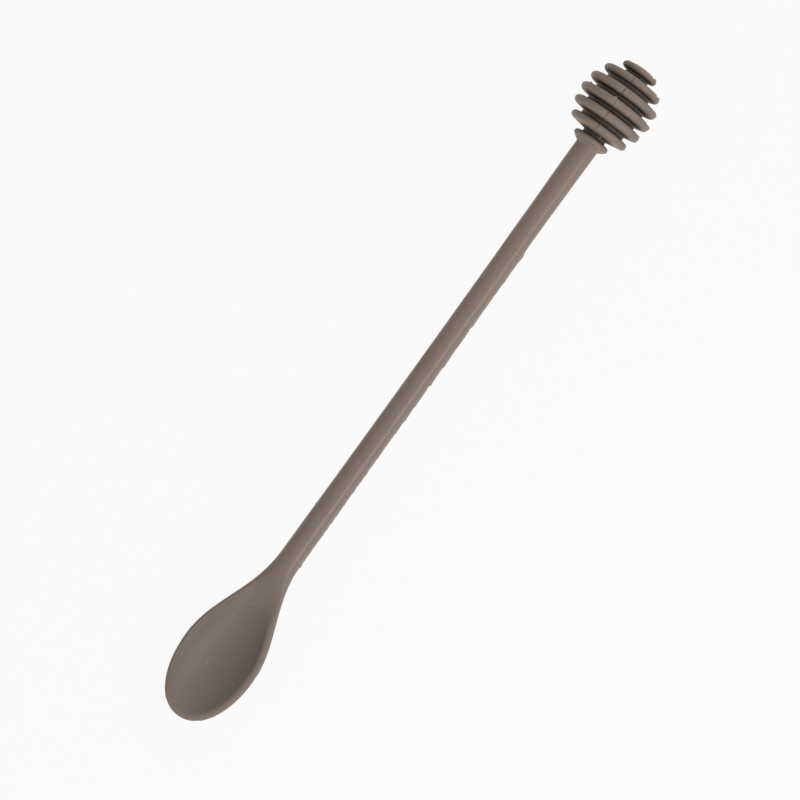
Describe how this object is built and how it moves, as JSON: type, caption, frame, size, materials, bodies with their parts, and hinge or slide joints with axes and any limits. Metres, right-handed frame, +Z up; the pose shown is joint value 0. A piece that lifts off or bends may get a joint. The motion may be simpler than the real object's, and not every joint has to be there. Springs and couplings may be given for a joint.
{
  "type": "honey dipper",
  "caption": "Double-ended silicone kitchen tool: a round handle with a ringed honey dipper head at one end and a small egg-shaped spoon at the other.",
  "frame": {"origin": "under the middle of the tool's length, on its axis in plan, at the height of its lowest point, the underside of the widest ring", "axes": "+X along the handle towards the dipper head, +Z up, the way the spoon's hollow opens, +Y across the spoon"},
  "size_m": [0.25, 0.026, 0.0254],
  "materials": {
    "silicone": "satin moulded silicone",
    "stainless_steel": "plain drawn and blanked stainless steel"
  },
  "bodies": {
    "root": {"dipper_head": "silicone", "handle_sleeve": "silicone", "spoon_bowl": "silicone", "core_rod": "stainless_steel", "bowl_stiffener": "stainless_steel"}
  },
  "joints": []
}
